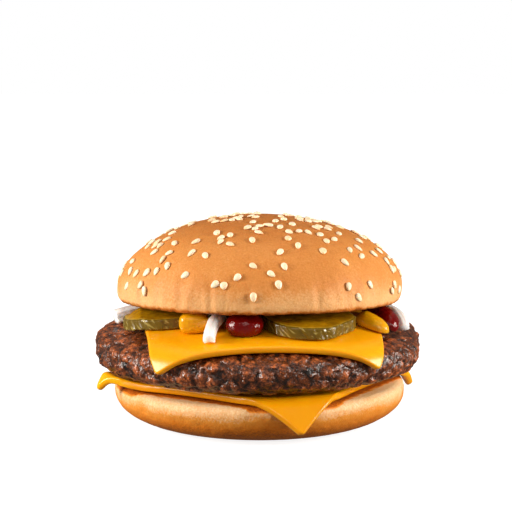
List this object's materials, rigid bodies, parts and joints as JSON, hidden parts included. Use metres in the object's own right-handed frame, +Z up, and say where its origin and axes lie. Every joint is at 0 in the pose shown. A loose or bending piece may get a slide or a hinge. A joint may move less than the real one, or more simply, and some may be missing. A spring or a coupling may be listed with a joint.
{
  "type": "cheeseburger",
  "caption": "Round cheeseburger: seeded bun crown, beef patty, draped square cheese slices, pickles, onion and sauce on a bun heel.",
  "frame": {"origin": "middle of the flat foot of the bun's heel, on the surface that the burger rests on", "axes": "+Z up through the stack, -Y towards the front of the picture, +X to the right of the picture"},
  "size_m": [0.1225, 0.1217, 0.078],
  "materials": {
    "bun_crown": "satin baked crust with pale sesame seeds",
    "bun_heel": "matt baked crumb, browner towards the foot",
    "cheese": "soft melted sheen",
    "patty": "seared, moist, rough",
    "pickle": "wet",
    "mustard": "glossy",
    "ketchup": "glossy",
    "onion": "wet and slightly translucent"
  },
  "bodies": {
    "root": {"bun_heel": "bun_heel", "cheese_lower": "cheese", "patty": "patty", "cheese_upper": "cheese", "pickle_left": "pickle", "pickle_right": "pickle", "pickle_back": "pickle", "mustard_left": "mustard", "mustard_right": "mustard", "ketchup_middle": "ketchup", "ketchup_right": "ketchup", "onion_front": "onion", "onion_left": "onion", "onion_right": "onion", "onion_back": "onion", "bun_crown": "bun_crown"}
  },
  "joints": []
}
